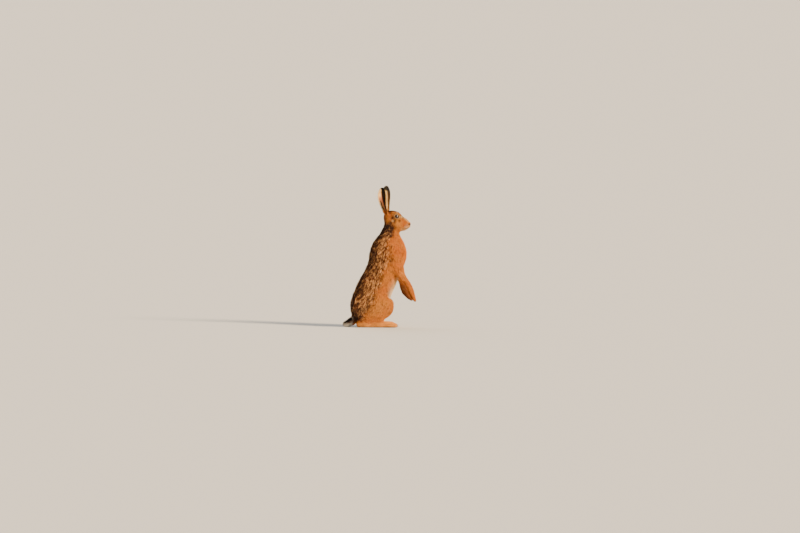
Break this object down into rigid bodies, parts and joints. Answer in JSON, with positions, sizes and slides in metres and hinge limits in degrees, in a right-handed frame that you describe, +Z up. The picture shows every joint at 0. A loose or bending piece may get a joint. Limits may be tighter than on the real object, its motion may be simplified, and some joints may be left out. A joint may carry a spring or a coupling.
{
  "type": "brown hare, sitting up",
  "caption": "Life-size brown hare sitting upright on its haunches, forelegs hanging, ears raised, head turned square to its side.",
  "frame": {"origin": "middle of the bounding box at floor level, on the floor", "axes": "+X the way the hare faces, +Y its left side, +Z up"},
  "size_m": [0.3084, 0.1396, 0.5928],
  "materials": {
    "head_coat": "short dense hair, warm brown with pale rings round the eyes and a pale chin",
    "neck_coat": "soft rufous hair flecked with dark brown on the nape",
    "body_coat": "tawny hair banded with black and buff along the back",
    "foreleg_coat": "short smooth orange-brown hair",
    "hindleg_coat": "dense tawny hair",
    "hindfoot_coat": "short harsh buff hair, thick under the sole",
    "ear_coat": "very short hair, pale edge and black tip, bare pinkish skin inside",
    "tail_coat": "fluffy hair, black above and white below",
    "eye": "wet glossy eye, amber-brown iris round a large black pupil"
  },
  "bodies": {
    "root": {"chest": "body_coat", "ear_l": "ear_coat", "ear_r": "ear_coat", "eye_l": "eye", "eye_r": "eye", "foreleg_l": "foreleg_coat", "foreleg_r": "foreleg_coat", "forepaw_l": "foreleg_coat", "forepaw_r": "foreleg_coat", "head": "head_coat", "hindfoot_l": "hindfoot_coat", "hindfoot_r": "hindfoot_coat", "hindleg_l": "hindleg_coat", "hindleg_r": "hindleg_coat", "loin": "body_coat", "neck": "neck_coat", "rump": "body_coat", "tail": "tail_coat"}
  },
  "joints": []
}
